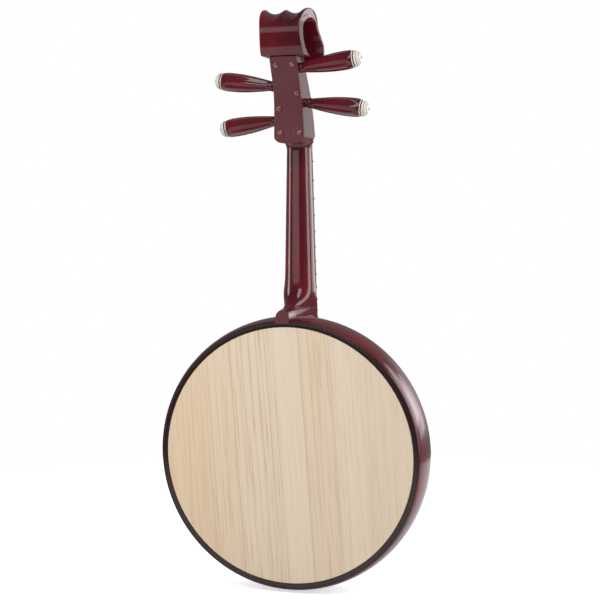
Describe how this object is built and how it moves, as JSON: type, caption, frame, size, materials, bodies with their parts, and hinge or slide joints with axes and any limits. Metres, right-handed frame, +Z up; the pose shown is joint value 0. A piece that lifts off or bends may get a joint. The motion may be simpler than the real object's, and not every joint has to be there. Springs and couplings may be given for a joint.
{
  "type": "zhongruan",
  "caption": "Round-bodied fretted lute: pale wood boards on a swelling lacquered rim, fretted neck, slotted box with tapered tuning pegs that turn, and a fluted hood at the head.",
  "frame": {"origin": "the rim's lowest point, midway between the two boards, where the body rests on the player's thigh", "axes": "+Z up along the neck, +Y square out of the back board, the soundboard faces -Y, +X to the right of someone who faces the soundboard"},
  "size_m": [0.4438, 0.1149, 0.9268],
  "materials": {
    "lacquered_wood": "dark red hardwood under high-gloss clear lacquer",
    "carved_wood": "carved dark red hardwood, satin",
    "plate_wood": "brown-red hardwood, rubbed matt",
    "paulownia": "pale close-grained paulownia strips, unlacquered satin",
    "fingerboard_wood": "near-black dense hardwood, satin",
    "bone": "polished cream bone or resin",
    "carved_bone": "cream bone or resin, carved with radial lines and dots, with a dark band and tip",
    "fret_brass": "polished fret wire",
    "screw_brass": "brass wood screws, slotted heads",
    "string_steel": "wound and plain steel strings"
  },
  "bodies": {
    "root": {"rim": "lacquered_wood", "back_board": "paulownia", "soundboard": "paulownia", "rosette_1": "carved_wood", "rosette_2": "carved_wood", "neck": "lacquered_wood", "heel_cap": "plate_wood", "fingerboard": "fingerboard_wood", "fret_01": "fret_brass", "fret_02": "fret_brass", "fret_03": "fret_brass", "fret_04": "fret_brass", "fret_05": "fret_brass", "fret_06": "fret_brass", "fret_07": "fret_brass", "fret_08": "fret_brass", "fret_09": "fret_brass", "fret_10": "fret_brass", "fret_11": "fret_brass", "fret_12": "fret_brass", "fret_13": "fret_brass", "fret_14": "fret_brass", "fret_15": "fret_brass", "fret_16": "fret_brass", "fret_17": "fret_brass", "fret_18": "fret_brass", "fret_19": "fret_brass", "fret_20": "fret_brass", "fret_21": "fret_brass", "fret_22": "fret_brass", "fret_23": "fret_brass", "fret_24": "fret_brass", "nut": "bone", "bridge": "lacquered_wood", "pegbox": "lacquered_wood", "cover_plate": "plate_wood", "cover_screw_1": "screw_brass", "cover_screw_2": "screw_brass", "cover_screw_3": "screw_brass", "cover_screw_4": "screw_brass", "cover_screw_5": "screw_brass", "cover_screw_6": "screw_brass", "string_1": "string_steel", "string_2": "string_steel", "string_3": "string_steel", "string_4": "string_steel", "head": "lacquered_wood"},
    "peg_1": {"peg_1": "lacquered_wood", "peg_1_ring": "bone", "peg_1_cap": "carved_bone"},
    "peg_2": {"peg_2": "lacquered_wood", "peg_2_ring": "bone", "peg_2_cap": "carved_bone"},
    "peg_3": {"peg_3": "lacquered_wood", "peg_3_ring": "bone", "peg_3_cap": "carved_bone"},
    "peg_4": {"peg_4": "lacquered_wood", "peg_4_ring": "bone", "peg_4_cap": "carved_bone"}
  },
  "joints": [
    {"name": "peg_1_turn", "type": "hinge", "parent": "root", "child": "peg_1", "pos_m": [-0.02346, 0.0245, 0.83422], "axis": [-0.9925, 0, 0.1219], "continuous": true},
    {"name": "peg_2_turn", "type": "hinge", "parent": "root", "child": "peg_2", "pos_m": [0.02488, 0.0141, 0.80841], "axis": [0.9925, 0, 0.1219], "continuous": true},
    {"name": "peg_3_turn", "type": "hinge", "parent": "root", "child": "peg_3", "pos_m": [-0.02971, 0.0037, 0.78128], "axis": [-0.9925, 0, -0.1219], "continuous": true},
    {"name": "peg_4_turn", "type": "hinge", "parent": "root", "child": "peg_4", "pos_m": [0.02579, -0.0067, 0.75592], "axis": [0.9925, 0, -0.1219], "continuous": true}
  ]
}
